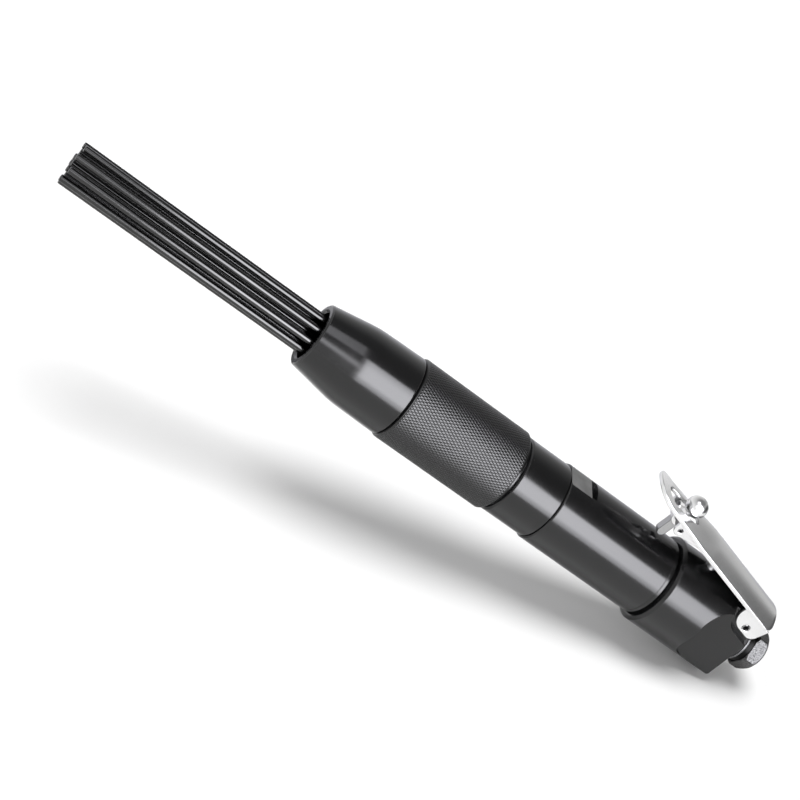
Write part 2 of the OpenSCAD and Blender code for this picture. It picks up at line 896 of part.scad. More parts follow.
module inlet_bushing() {
    color("dimgray") difference() {
        union() {
            intersection() {
                translate([x_hex, 0, 0]) rotate([0, 90, 0]) rotate([0, 0, 30])
                    cylinder(h = hex_len, r = hex_corner_r, $fn = 6);
                turned([
                    [0, x_hex],
                    [hex_corner_r + overrun, x_hex],
                    [hex_corner_r + overrun, -hex_chamfer],
                    [hex_corner_r, -hex_chamfer],
                    [hex_af / 2 - hex_face_inset, 0],
                    [0, 0]
                ]);
            }
            rod(x_neck, x_hex, neck_r);
            rod(x_bushing, x_neck, thread_r);
        }
        rod(-inlet_depth, overrun, inlet_d / 2);
        rod(x_web, overrun - inlet_depth, strainer_r + hole_gap);
        rod(x_spring_rear - overrun, x_web + overrun, web_hole_r);
        rod(x_bushing - overrun, x_spring_rear, spring_pocket_r);
    }
}

module inlet_washer() {
    outer = hex_af / 2 + washer_edge;
    color("silver") turned([
        [thread_r + thread_gap, x_boss],
        [outer, x_boss],
        [outer, x_neck - washer_edge],
        [outer - washer_edge, x_neck],
        [thread_r + thread_gap, x_neck]
    ]);
}

module inlet_strainer() {
    color("goldenrod") difference() {
        rod(x_web, -inlet_depth, strainer_r);
        for (i = [0 : strainer_holes - 1])
            rotate([360 * i / strainer_holes, 0, 0]) translate([0, 0, strainer_ring_r])
                rod(x_web - overrun, overrun - inlet_depth, strainer_hole_r);
    }
}

for (i = [1 : needle_count]) needle(i);
nose();
collar();
hammer_cylinder();
barrel();
seam_ring();
head();
needle_holder();
return_spring();
anvil();
anvil_buffer();
piston();
valve_cover();
valve_disc();
valve_seat();
valve_dowel();
lever();
lever_pin();
latch();
latch_pin();
latch_spring();
throttle_pin();
pin_seal();
throttle_valve();
valve_seal();
valve_spring();
inlet_bushing();
inlet_washer();
inlet_strainer();
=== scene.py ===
"""Looks of a straight air needle scaler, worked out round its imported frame.

X runs along the tool with the needles at -X, and +Z is the lever's side. The tool's lengths are millimetres
until a mesh is written; the camera's and the stage's are metres. Stations and radii come from the boxes of
the frame's nodes where these give them.
"""
import json
import math

import bpy
import numpy as np
from mathutils import Matrix, Vector


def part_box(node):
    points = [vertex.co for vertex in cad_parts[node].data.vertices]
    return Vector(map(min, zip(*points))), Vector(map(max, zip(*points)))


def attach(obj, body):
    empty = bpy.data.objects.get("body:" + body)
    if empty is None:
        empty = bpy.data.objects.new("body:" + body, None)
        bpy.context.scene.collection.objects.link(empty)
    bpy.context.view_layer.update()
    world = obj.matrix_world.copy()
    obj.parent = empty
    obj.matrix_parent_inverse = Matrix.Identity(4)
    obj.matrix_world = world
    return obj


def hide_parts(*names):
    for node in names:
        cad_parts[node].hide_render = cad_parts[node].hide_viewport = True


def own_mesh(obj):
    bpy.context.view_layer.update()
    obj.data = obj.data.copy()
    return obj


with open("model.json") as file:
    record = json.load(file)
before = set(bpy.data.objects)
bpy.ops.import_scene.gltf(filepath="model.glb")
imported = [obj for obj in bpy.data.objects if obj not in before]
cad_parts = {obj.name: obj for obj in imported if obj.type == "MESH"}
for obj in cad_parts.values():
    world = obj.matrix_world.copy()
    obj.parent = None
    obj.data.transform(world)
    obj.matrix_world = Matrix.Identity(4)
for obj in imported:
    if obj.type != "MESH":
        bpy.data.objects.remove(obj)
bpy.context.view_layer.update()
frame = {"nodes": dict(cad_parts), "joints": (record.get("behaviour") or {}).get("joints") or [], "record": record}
scene = bpy.context.scene
MM = 0.001
BODIES = frame["record"]["behaviour"]["bodies"]
BODY_OF = {node: body for body, nodes in BODIES.items() for node in nodes}
SLOT_OF = {part["node"]: part["material_slot"] for part in frame["record"]["subparts"]}


def span(node):
    """Lowest and highest corner of a node."""
    low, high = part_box(node)
    return np.array(low) / MM, np.array(high) / MM


def reach(node):
    """First station, last station and outer radius of a turned node."""
    low, high = span(node)
    return low[0], high[0], high[1]


def joint_place(name):
    """Where a joint's axis passes."""
    return np.array(next(j["pos_m"] for j in frame["joints"] if j["name"] == name)) / MM


# Camera, as the photograph was taken
EYE = (-0.404653, -0.548770, 0.315683)
CAMERA_AZIMUTH = -19.8934
CAMERA_ELEVATION = 28.4983
CAMERA_ROLL = 45.3157
LENS = 72
SENSOR = 36
CLIP_START = 0.01


def add_camera():
    """A camera at EYE, turned by azimuth and elevation and then rolled about its own view axis."""
    turn = (
        Matrix.Rotation(math.radians(CAMERA_AZIMUTH), 4, "Z")
        @ Matrix.Rotation(math.radians(90 - CAMERA_ELEVATION), 4, "X")
        @ Matrix.Rotation(math.radians(CAMERA_ROLL), 4, "Z")
    )
    data = bpy.data.cameras.new("camera")
    data.lens = LENS
    data.sensor_width = SENSOR
    data.clip_start = CLIP_START
    camera = bpy.data.objects.new("camera", data)
    camera.matrix_world = Matrix.Translation(EYE) @ turn
    scene.collection.objects.link(camera)
    scene.camera = camera


add_camera()


# Shader maths
# A colour Mix node has several sockets of one name, so its sockets go by number
MIX_SHARE, MIX_A, MIX_B, MIX_RESULT = 0, 6, 7, 2
BEVEL_SAMPLES = 6


def grey(value, tint=(1, 1, 1)):
    """An opaque grey, tinted."""
    return tuple(value * t for t in tint) + (1,)


class Wire:
    """A shader socket: arithmetic on it adds Math nodes to its tree."""

    def __init__(self, shader, socket):
        self.shader = shader
        self.socket = socket

    def maths(self, operation, *values):
        return self.shader.node("ShaderNodeMath", {"operation": operation}, dict(enumerate(values)))

    def __add__(self, other):
        return self.maths("ADD", self, other)

    def __sub__(self, other):
        return self.maths("SUBTRACT", self, other)

    def __rsub__(self, other):
        return self.maths("SUBTRACT", other, self)

    def __mul__(self, other):
        return self.maths("MULTIPLY", self, other)

    def __pow__(self, other):
        return self.maths("POWER", self, other)

    __radd__ = __add__
    __rmul__ = __mul__

    def clamp(self):
        return self.maths("MINIMUM", self.maths("MAXIMUM", self, 0.0), 1.0)

    def step(self):
        """Zero below zero and one from a tenth on."""
        return (self * 10.0).clamp()


class Shader:
    """A node tree that is written as expressions."""

    def __init__(self, owner):
        owner.use_nodes = True
        self.owner = owner
        self.tree = owner.node_tree
        self.tree.nodes.clear()

    def node(self, kind, settings=None, inputs=None, output=0):
        """Adds a node: its settings first, then a value or a link for each named input."""
        made = self.tree.nodes.new(kind)
        for key, value in (settings or {}).items():
            if key == "stops":
                elements = made.color_ramp.elements
                while len(elements) < len(value):
                    elements.new(1.0)
                for element, (position, shade) in zip(elements, value):
                    element.position = position
                    element.color = grey(shade)
            else:
                setattr(made, key, value)
        for key, value in (inputs or {}).items():
            if isinstance(value, Wire):
                self.tree.links.new(value.socket, made.inputs[key])
            else:
                made.inputs[key].default_value = value
        return Wire(self, made.outputs[output]) if made.outputs else None

    def place(self, stretch=(1, 1, 1)):
        """Object coordinates in millimetres, divided by stretch."""
        here = self.node("ShaderNodeTexCoord", output="Object")
        scale = [1 / MM / s for s in stretch]
        return self.node("ShaderNodeMapping", {}, {"Vector": here, "Scale": scale})

    def axes(self, place, names):
        """The named coordinates of a place, each by itself."""
        return [self.node("ShaderNodeSeparateXYZ", {}, {"Vector": place}, output=name) for name in names]

    def noise(self, size, stretch=(1, 1, 1), detail=3.0, rough=0.55):
        """Noise whose grains are about size across, and stretch times that along each axis."""
        return self.node(
            "ShaderNodeTexNoise",
            {},
            {"Vector": self.place(stretch), "Scale": 1 / size, "Detail": detail, "Roughness": rough},
        )

    def mix(self, a, b, share):
        """Colour a turning into colour b."""
        inputs = {MIX_SHARE: share, MIX_A: a, MIX_B: b}
        return self.node("ShaderNodeMix", {"data_type": "RGBA"}, inputs, MIX_RESULT)

    def mark(self, name):
        """A piece's own attribute, zero where the piece has none."""
        return self.node("ShaderNodeAttribute", {"attribute_name": name}, output="Fac")

    def bump(self, height, depth, edge=0.0):
        """A normal bent by a height of the given depth, over edges that are rounded by edge."""
        inputs = {"Strength": 1.0, "Distance": depth * MM, "Height": height}
        if edge:
            inputs["Normal"] = self.node(
                "ShaderNodeBevel", {"samples": BEVEL_SAMPLES}, {"Radius": edge * MM}
            )
        return self.node("ShaderNodeBump", {}, inputs)

    def surface(self, **sockets):
        """Closes the tree with one Principled shader."""
        inputs = {key.replace("_", " ").title(): value for key, value in sockets.items()}
        shader = self.node("ShaderNodeBsdfPrincipled", {}, inputs)
        self.node("ShaderNodeOutputMaterial", {}, {"Surface": shader})
        return self.owner


def new_finish(name):
    """The empty tree of a new material."""
    return Shader(bpy.data.materials.new(name))


# Finishes
COOL = (0.97, 0.98, 1.04)
BARE_STEEL = grey(0.42)
COAT_DARK, COAT_PALE = grey(0.0045, COOL), grey(0.0085, COOL)
COAT_EDGE = 0.35
BOSS_LEN = 3.1
BOSS_X = float(span("head")[1][0]) - BOSS_LEN
FLAT_LEN = 11.5
FLAT_START = float(span("barrel")[0][0])
FLAT_END = FLAT_START + FLAT_LEN
# A little more than the depth of the wrench flats
FLAT_DEPTH = 1.1
FLAT_Z = float(span("barrel")[1][2]) - FLAT_DEPTH


def black_coat(name, gloss, depth, dull_x=0.0):
    """Gloss black on metal: turning lines, a fine orange peel, edges rubbed to grey; dull behind dull_x.

    The barrel's wrench flats are painted greyer, a painted reflection of the lighter zone they face: they are what
    lies higher than FLAT_Z between two stations.
    """
    s = new_finish(name)
    cloud = s.noise(9)
    peel = s.noise(0.35, detail=2.0)
    lines = s.noise(0.16, stretch=(1, 60, 60), detail=2.0)
    rubbed = (s.mark("wear") * (s.noise(0.9) * 2.6 - 0.75)).clamp() * 0.55
    along, up = s.axes(s.place(), "XZ")
    dull = (along - dull_x).step()
    between = (along - FLAT_START).step() * (FLAT_END - along).step()
    # painted reflection: the wrench flats' base colour turns towards grey for the lighter zone they reflect
    painted_flat_sheen = between * (up * up - FLAT_Z ** 2).clamp() * (0.1 + 0.3 * cloud)
    coat = s.mix(COAT_DARK, COAT_PALE, cloud)
    return s.surface(
        base_color=s.mix(coat, BARE_STEEL, (rubbed * 0.35 + painted_flat_sheen).clamp()),
        metallic=rubbed * 0.5,
        roughness=gloss + 0.07 * cloud + 0.05 * lines + 0.12 * rubbed + 0.5 * dull,
        normal=s.bump(peel * 0.6 + lines * 0.5, depth, COAT_EDGE),
    )


def knurled_coat():
    """The same coat on the knurl: its points are smoother and lighter than its grooves, the lighter colour partly
    rubbed wear and partly painted highlight, the darker grooves partly painted shade.
    """
    s = new_finish("knurled_coat")
    cloud = s.noise(5)
    grit = s.noise(0.25, detail=2.0)
    # partly painted highlight and shade: the points' colour is lifted over the grooves', besides rubbed wear
    points = (s.mark("crest") ** 2.0 * (0.35 + cloud)).clamp()
    return s.surface(
        base_color=s.mix(grey(0.004, COOL), grey(0.012, COOL), points),
        roughness=0.33 - 0.24 * s.mark("crest") + 0.04 * cloud + 0.04 * grit,
        normal=s.bump(grit, 0.004),
    )


def needle_wire():
    """Dark drawn wire: lines along it, and bright cut ends."""
    s = new_finish("needle_wire")
    drawn = s.noise(0.12, stretch=(160, 1, 1))
    cloud = s.noise(7, stretch=(4, 1, 1))
    cut = s.mark("wear") * (0.4 + 0.6 * s.noise(0.3))
    return s.surface(
        base_color=s.mix(s.mix(grey(0.03), grey(0.085), cloud), BARE_STEEL, cut * 0.7),
        metallic=1.0,
        roughness=0.09 + 0.08 * drawn + 0.04 * cloud,
        normal=s.bump(drawn, 0.004),
    )


def polished_sheet():
    """Plated steel with a fine grain along it, faint smears and rubbed edges; painted a darker grey where marked,
    a painted reflection of the dark barrel on the latch's foot.
    """
    s = new_finish("polished_sheet")
    grain = s.noise(0.09, stretch=(90, 1, 6))
    smear = s.noise(11, detail=4.0)
    plating = s.mix(grey(0.72), grey(0.82), smear)
    return s.surface(
        # painted reflection: where marked, the latch's foot is painted darker grey, standing for the dark barrel
        # it reflects
        base_color=s.mix(plating, grey(0.4), s.mark("crest")),
        metallic=1.0,
        roughness=0.13 + 0.1 * grain + 0.09 * smear - 0.06 * s.mark("wear"),
        normal=s.bump(grain, 0.0012),
    )


def machined_steel(name, shade, gloss, grain_size):
    """Turned or ground steel: grains, a faint cloud and edges rubbed bright."""
    s = new_finish(name)
    grains = s.noise(grain_size, detail=4.0, rough=0.7)
    cloud = s.noise(4)
    rubbed = (s.mark("wear") * (0.35 + s.noise(0.7))).clamp()
    dark, light = grey(shade * 0.7, COOL), grey(shade * 1.3)
    return s.surface(
        base_color=s.mix(s.mix(dark, light, grains), BARE_STEEL, rubbed * 0.8),
        metallic=1.0,
        roughness=gloss + 0.16 * grains + 0.08 * cloud - 0.1 * rubbed,
        normal=s.bump(grains, grain_size * 0.03),
    )


def black_oxide():
    """The bushing's dark oxide: nearly black, with a pale forged grain where wear is marked."""
    s = new_finish("black_oxide")
    grains = s.noise(0.45, detail=4.0, rough=0.75)
    cloud = s.noise(3)
    return s.surface(
        base_color=s.mix(grey(0.008), grey(0.15), (grains * 4.0 - 1.5).clamp() * s.mark("wear")),
        metallic=1.0,
        roughness=0.22 + 0.16 * grains + 0.06 * cloud,
        normal=s.bump(grains, 0.03),
    )


def moulded_rubber():
    """Black rubber, dull with a bloom."""
    s = new_finish("moulded_rubber")
    bloom = s.noise(3, detail=4.0)
    return s.surface(
        base_color=s.mix(grey(0.006), grey(0.016), bloom),
        roughness=0.5 + 0.25 * bloom,
        normal=s.bump(s.noise(0.2), 0.008),
    )


def turned_brass():
    """Brass with fine turning lines and darker patches."""
    s = new_finish("turned_brass")
    lines = s.noise(0.14, stretch=(1, 50, 50))
    patch = s.noise(4, detail=4.0)
    return s.surface(
        base_color=s.mix((0.72, 0.53, 0.24, 1), (0.48, 0.32, 0.12, 1), patch),
        metallic=1.0,
        roughness=0.2 + 0.12 * lines + 0.12 * patch,
        normal=s.bump(lines, 0.003),
    )


FINISHES = {
    "black_steel": black_coat("black_coat", 0.1, 0.0022),
    "black_head": black_coat("black_head_coat", 0.12, 0.0028, BOSS_X),
    "needle_steel": needle_wire(),
    "polished_steel": polished_sheet(),
    "dark_steel": machined_steel("gunmetal", 0.2, 0.26, 0.35),
    "bright_steel": machined_steel("ground_steel", 0.55, 0.16, 0.2),
    "spring_steel": machined_steel("oiled_spring_wire", 0.28, 0.22, 0.3),
    "brass": turned_brass(),
    "black_rubber": moulded_rubber(),
}
for solid, slot in SLOT_OF.items():
    node_mesh = frame["nodes"][solid].data
    node_mesh.materials.clear()
    node_mesh.materials.append(FINISHES[slot])


# Surfaces: grids of points that close both ways, written as meshes that stand for the frame's nodes
SHARP_ANGLE = math.radians(38)
WELD_DIGITS = 4
SUPPORT = 0.3
WEAR_TURN = math.sin(math.radians(20))
EDGE_STEPS = 5
SMALL_R = 0.25


def round_angles(count):
    """That many equal angles once round."""
    return np.linspace(0, 2 * np.pi, count, endpoint=False)


def unit(vectors):
    """Vectors scaled to length one."""
    return vectors / np.linalg.norm(vectors, axis=-1, keepdims=True)


def turn_of(points):
    """Which way a closed outline runs: 1 anticlockwise, -1 clockwise."""
    after = np.roll(points, -1, axis=0)
    return np.sign((points[:, 0] * after[:, 1] - points[:, 1] * after[:, 0]).sum())


def close(points, quads, wear, crest):
    """One shell: points at the same place are joined, and the faces turn outward, as the volume tells."""
    places = np.round(points, WELD_DIGITS)
    _, first, number = np.unique(places, axis=0, return_index=True, return_inverse=True)
    quads = number.reshape(-1)[quads]
    kept = points[first]
    a, b, c, d = (kept[quads[:, k]] for k in range(4))
    if (a * (np.cross(b, c) + np.cross(c, d))).sum() < 0:
        quads = quads[:, ::-1]
    return kept, quads, {"wear": wear[first], "crest": crest[first]}


def shell(grid, wear=0.0, crest=0.0):
    """A grid whose rows and columns both close on themselves; a row at one point makes a pole or an end."""
    n, m = grid.shape[:2]
    i, j = np.indices((n, m))
    below, right = (i + 1) % n, (j + 1) % m
    quads = np.stack([i * m + j, below * m + j, below * m + right, i * m + right], axis=-1)
    wear, crest = (np.broadcast_to(mark, (n, m)).reshape(-1) for mark in (wear, crest))
    return close(grid.reshape(-1, 3), quads.reshape(-1, 4), wear, crest)


def make_piece(node, shells, finish=None, facets=False):
    """Writes shells as one mesh that stands for a node, rides on its body and takes its slot's finish."""
    starts = np.cumsum([0] + [len(points) for points, _, _ in shells])
    points = np.concatenate([points for points, _, _ in shells])
    quads = np.concatenate([quads + start for (_, quads, _), start in zip(shells, starts)])
    same = quads == np.roll(quads, -1, axis=1)
    whole = quads[~same.any(axis=1)]
    folded = same.sum(axis=1) == 1
    threes = quads[folded][~same[folded]].reshape(-1, 3)
    sizes = np.concatenate([np.full(len(whole), 4), np.full(len(threes), 3)])
    corners = np.concatenate([whole.ravel(), threes.ravel()])
    mesh = bpy.data.meshes.new(node + "_form")
    mesh.vertices.add(len(points))
    mesh.vertices.foreach_set("co", (points * MM).ravel())
    mesh.loops.add(len(corners))
    mesh.loops.foreach_set("vertex_index", corners)
    mesh.polygons.add(len(sizes))
    mesh.polygons.foreach_set("loop_start", np.cumsum(sizes) - sizes)
    mesh.update(calc_edges=True)
    mesh.polygons.foreach_set("use_smooth", np.full(len(sizes), not facets))
    mesh.set_sharp_from_angle(angle=SHARP_ANGLE)
    for name in ("wear", "crest"):
        values = np.concatenate([marks[name] for _, _, marks in shells])
        mesh.attributes.new(name, "FLOAT", "POINT").data.foreach_set("value", values)
    mesh.materials.append(finish or FINISHES[SLOT_OF[node]])
    piece = bpy.data.objects.new(node + "_form", mesh)
    scene.collection.objects.link(piece)
    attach(piece, BODY_OF[node])
    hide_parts(node)
    return piece


def rounded(corners, steps=4):
    """A closed outline whose corners (a, b, radius) become arcs that touch both sides.

    An arc's centre lies on its corner's bisector at radius / sin(half the corner), and its points go round
    by equal angles from one tangent point to the other. A support point beside each keeps the flat sides
    flat. Returns the points and their wear, which is one half way round an outer corner.
    """
    table = np.array(corners, float)
    point, radius = table[:, :2], table[:, 2]
    back = np.roll(point, 1, axis=0) - point
    fore = np.roll(point, -1, axis=0) - point
    length = np.linalg.norm(fore, axis=1)
    back, fore = unit(back), unit(fore)
    half = np.arccos(np.clip((back * fore).sum(axis=1), -1, 1)) / 2
    cut = radius / np.tan(half)
    beside = np.minimum(SUPPORT, (length - cut - np.roll(cut, -1)) / 3)
    centre = point + unit(back + fore) * (radius / np.sin(half))[:, None]
    first = point + back * cut[:, None]
    last = point + fore * cut[:, None]
    turn = (np.pi - 2 * half)[:, None]
    t = np.linspace(0, 1, steps + 1)
    a = (np.sin(turn * (1 - t)) / np.sin(turn))[..., None]
    b = (np.sin(turn * t) / np.sin(turn))[..., None]
    arc = centre[:, None] + a * (first - centre)[:, None] + b * (last - centre)[:, None]
    before = first + back * np.roll(beside, 1)[:, None]
    after = last + fore * beside[:, None]
    ring = np.concatenate([before[:, None], arc, after[:, None]], axis=1)
    outer = (fore[:, 0] * back[:, 1] - fore[:, 1] * back[:, 0]) * turn_of(point) > WEAR_TURN
    bend = np.concatenate([[0], np.sin(np.pi * t), [0]])
    return ring.reshape(-1, 2), (outer[:, None] * bend).reshape(-1)


def turned(outline, wear, sides=128, middle=(0, 0)):
    """A closed outline of stations and radii swept once round the axis: (x, r cos a, r sin a)."""
    a = round_angles(sides)
    x, r = outline[:, :1], outline[:, 1:]
    grid = np.stack([x + 0 * a, middle[0] + r * np.cos(a), middle[1] + r * np.sin(a)], axis=-1)
    return shell(grid, np.reshape(wear, (-1, 1)))


def wire(centre, normal, tangent, radius, sides=10):
    """A round wire: its ring at each point of the path is radius (cos a normal + sin a across).

    Both ends are flat.
    """
    a = round_angles(sides)[:, None]
    across = np.cross(tangent, normal)
    rings = centre[:, None] + radius * (np.cos(a) * normal[:, None] + np.sin(a) * across[:, None])
    ends = [np.repeat(centre[k][None, None], sides, axis=1) for k in (0, -1)]
    return shell(np.concatenate([ends[0], rings, ends[1]]))


def helix(turns, radius, lead, leg=0.0, steps=40):
    """Path of a coil along X: (lead t, r cos 2 pi t, r sin 2 pi t), with a straight leg before it."""
    t = np.linspace(0, turns, turns * steps + 1)[:, None]
    a = 2 * np.pi * t
    rim = 2 * np.pi * radius
    centre = np.concatenate([lead * t, radius * np.cos(a), radius * np.sin(a)], axis=1)
    normal = np.concatenate([0 * t, np.cos(a), np.sin(a)], axis=1)
    tangent = unit(np.concatenate([lead + 0 * t, -rim * np.sin(a), rim * np.cos(a)], axis=1))
    if leg:
        centre = np.concatenate([[[0, radius, -leg]], centre])
        normal = np.concatenate([[[0, 1, 0]], normal])
        tangent = np.concatenate([[[0, 0, 1]], tangent])
    return centre, normal, tangent


def outward(outline):
    """Unit normals of a closed outline, pointing out of it."""
    run = np.roll(outline, -1, axis=0) - np.roll(outline, 1, axis=0)
    return unit(np.stack([run[:, 1], -run[:, 0]], axis=1)) * turn_of(outline)


def pressed(inner, outer, thickness, edge, rows, place, crest=0.0):
    """A plate with round edges between two closed outlines that have as many points each.

    On its faces a point lies at a share of the way from the inner outline to the outer one. At an edge it
    moves in by edge (1 - sin b) while its drop under the top face grows by edge (1 - cos b).
    place turns plan and drop into space; an inner outline at one point leaves the plate whole.
    """
    b = np.linspace(0, np.pi / 2, EDGE_STEPS)
    inset, drop = edge * (1 - np.sin(b)), edge * (1 - np.cos(b))
    drops = np.concatenate([drop, thickness - drop[::-1]])
    insets = np.concatenate([inset, inset[::-1]])
    rim = outer - insets[:, None, None] * outward(outer)
    lip = np.broadcast_to(inner, (len(insets),) + inner.shape)
    if np.ptp(inner, axis=0).any():
        lip = inner + insets[:, None, None] * outward(inner)
    share = np.linspace(0, 1, rows)[1:-1, None, None]
    under = rim[-1] + (lip[-1] - rim[-1]) * share
    top = lip[0] + (rim[0] - lip[0]) * share
    plan = np.concatenate([rim, under, lip[::-1], top])
    level = np.zeros(rows - 2)
    fall = np.concatenate([drops, level + thickness, drops[::-1], level])
    bend = np.concatenate([np.sin(2 * b), np.sin(2 * b)])
    wear = np.concatenate([bend, level, bend, level])
    return shell(place(plan, fall[:, None]), wear[:, None], crest)


def circle(middle, radius, angles):
    """Points of a circle at these angles."""
    return np.array(middle) + radius * np.stack([np.cos(angles), np.sin(angles)], axis=-1)


def eye_of(outline, middle, radius):
    """The points of a round hole that lie towards each point of an outline."""
    return np.array(middle) + radius * unit(outline - np.array(middle))


def spread(points, count):
    """That many points at equal steps along a line through the given points."""
    points = np.array(points, float)
    along = np.concatenate([[0], np.cumsum(np.linalg.norm(np.diff(points, axis=0), axis=1))])
    at = np.linspace(0, along[-1], count)
    return np.stack([np.interp(at, along, points[:, k]) for k in (0, 1)], axis=1)


# Nose, seam ring and washer
NOSE_TIP_R = 14.65
NOSE_SHOULDER_R = 18.2
NOSE_CONE = 22.1
NOSE_BORE_R = 11.25
NOSE_BORE = 13.6
NOSE_CHAMBER_R = 13.5
SPIGOT_R = 16.5
MOUTH_CHAMFER = 0.9
TIP_CHAMFER = 0.7
NOSE_BLEND_R = 56
NOSE_GAP = 0.5
SEAM_BORE_R = 15.8
SEAM_LIP = 1.3
SEAM_CHAMFER = 0.5
SEAM_LIP_EDGE = 0.2
SEAM_FOOT_EDGE = 0.3
WASHER_BORE_R = 8.65
WASHER_EDGE = 0.2


def make_nose():
    """The nose's outline, turned: mouth, cone, blended shoulder, body, spigot and the two bores."""
    x0, x1, r = reach("nose")
    back = span("collar")[0][0] - NOSE_GAP
    outline = rounded([
        (x0, NOSE_BORE_R + MOUTH_CHAMFER, SMALL_R),
        (x0, NOSE_TIP_R - TIP_CHAMFER, SMALL_R),
        (x0 + TIP_CHAMFER, NOSE_TIP_R, SMALL_R),
        (x0 + NOSE_CONE, NOSE_SHOULDER_R, NOSE_BLEND_R),
        (back, r, 2 * SMALL_R),
        (back, SPIGOT_R, SMALL_R),
        (x1, SPIGOT_R, SMALL_R),
        (x1, NOSE_CHAMBER_R, SMALL_R),
        (x0 + NOSE_BORE, NOSE_CHAMBER_R, SMALL_R),
        (x0 + NOSE_BORE, NOSE_BORE_R, SMALL_R),
        (x0 + MOUTH_CHAMFER, NOSE_BORE_R, SMALL_R),
    ])
    make_piece("nose", [turned(*outline)])


def make_seam_ring():
    """The ring's outline, turned: a lip flush with the barrel, over its end's chamfer, then a groove."""
    x0, x1, r = reach("seam_ring")
    lip = reach("barrel")[2]
    outline = rounded([
        (x0, SEAM_BORE_R, 0),
        (x0, lip - SEAM_CHAMFER, 0),
        (x0 - SEAM_CHAMFER, lip, 0),
        (x0 + SEAM_LIP, lip, SEAM_LIP_EDGE),
        (x0 + SEAM_LIP, r, SEAM_FOOT_EDGE),
        (x1, r, 0),
        (x1, SEAM_BORE_R, 0),
    ])
    make_piece("seam_ring", [turned(*outline)], FINISHES["black_steel"])


def make_washer():
    """A plain ring with round corners, turned."""
    x0, x1, r = reach("inlet_washer")
    outline = rounded([
        (x0, WASHER_BORE_R, WASHER_EDGE),
        (x0, r, WASHER_EDGE),
        (x1, r, WASHER_EDGE),
        (x1, WASHER_BORE_R, WASHER_EDGE),
    ])
    make_piece("inlet_washer", [turned(*outline)], machined_steel("dull_zinc", 0.12, 0.34, 0.25))


make_nose()
make_seam_ring()
make_washer()

# Needles
NEEDLE_R = 1.5
NEEDLE_CHAMFER = 0.35
NEEDLE_TIP_EDGE = 0.1
NEEDLE_SHANK_EDGE = 0.15
# The head is a hair shorter than the solid's, so that it only nears its seat
NEEDLE_HEAD = 1.95
HEAD_FRONT_EDGE = 0.2
HEAD_REAR_EDGE = 0.3
NEEDLE_SIDES = 28


def make_needle(node):
    """A drawn wire with a cut tip and an upset head, turned on its own axis."""
    low, high = span(node)
    x0, x1 = low[0], high[0]
    r = (high[1] - low[1]) / 2
    outline, _ = rounded([
        (x0, 0, 0),
        (x0, NEEDLE_R - NEEDLE_CHAMFER, NEEDLE_TIP_EDGE),
        (x0 + NEEDLE_CHAMFER, NEEDLE_R, NEEDLE_SHANK_EDGE),
        (x1 - NEEDLE_HEAD, NEEDLE_R, 0),
        (x1 - NEEDLE_HEAD, r, HEAD_FRONT_EDGE),
        (x1, r, HEAD_REAR_EDGE),
        (x1, 0, 0),
    ])
    tip = np.clip((x0 + NEEDLE_CHAMFER - outline[:, 0]) / NEEDLE_CHAMFER, 0, 1)
    middle = (low + high) / 2
    make_piece(node, [turned(outline, tip, NEEDLE_SIDES, middle[1:])])


for needle in [node for node in frame["nodes"] if node.startswith("needle_") and node != "needle_holder"]:
    make_needle(needle)

# Knurled collar
KNURL_ROUND = 86
KNURL_ALONG = 20
KNURL_STEPS = 6
KNURL_DEPTH = 0.14
KNURL_SHARES = (1, 0.25, 0.06, 0)
COLLAR_LIP = 1
COLLAR_DROP = 0.3
COLLAR_CHAMFER = 0.6
COLLAR_BORE_R = 16.65


def make_collar():
    """A diamond knurl: the radius falls by depth times the nearer of two crossed sets of grooves.

    With i round and j along in steps of a period, the grooves lie where (i + j) or (i - j) is a whole
    number; a groove's share is one there, falls steeply at first and then gently to zero on a diamond's
    top. Each square of the grid is split along the groove that crosses it.
    """
    x0, x1, r = reach("collar")
    k = KNURL_STEPS
    count, rows = KNURL_ROUND * k, KNURL_ALONG * k
    near, far = x0 + COLLAR_LIP, x1 - COLLAR_LIP
    i, j = np.arange(count)[None, :], np.arange(rows + 1)[:, None]

    def groove(phase):
        away = np.abs((phase / k + 0.5) % 1 - 0.5)
        return np.interp(away, np.linspace(0, 0.5, len(KNURL_SHARES)), KNURL_SHARES)

    cut = np.maximum(groove(i + j), groove(i - j))
    lip = r - COLLAR_DROP
    head = np.array([
        (near - COLLAR_DROP, lip),
        (x0 + COLLAR_CHAMFER, lip),
        (x0 + COLLAR_CHAMFER - SMALL_R, lip - SMALL_R / 3),
        (x0 + SMALL_R, lip - COLLAR_CHAMFER + SMALL_R),
        (x0, lip - COLLAR_CHAMFER - SMALL_R / 2),
        (x0, COLLAR_BORE_R),
    ])
    tail = head * (-1, 1) + (x0 + x1, 0)
    ends = np.concatenate([tail, head[::-1]])
    a = 2 * np.pi * i / count
    along = np.concatenate([np.linspace(near, far, rows + 1), ends[:, 0]])[:, None]
    radius = np.concatenate([r - KNURL_DEPTH * cut, np.repeat(ends[:, 1:], count, axis=1)])
    grid = np.stack([along + 0 * a, radius * np.cos(a), radius * np.sin(a)], axis=-1)
    crest = np.concatenate([1 - cut, np.zeros((len(ends), count))])
    n = len(grid)
    row, column = np.indices((n, count))
    below, right = (row + 1) % n * count, (column + 1) % count
    here, under = row * count + column, below + column
    beside, across = row * count + right, below + right
    falling = ((row + column) % k == k - 1) & (row < rows)
    third, start = np.where(falling, beside, across), np.where(falling, under, here)
    one = np.stack([here, under, third, third], axis=-1)
    two = np.stack([start, across, beside, beside], axis=-1)
    faces = np.concatenate([one.reshape(-1, 4), two.reshape(-1, 4)])
    knurl = close(grid.reshape(-1, 3), faces, np.zeros(n * count), crest.reshape(-1))
    make_piece("collar", [knurl], knurled_coat(), facets=True)


make_collar()

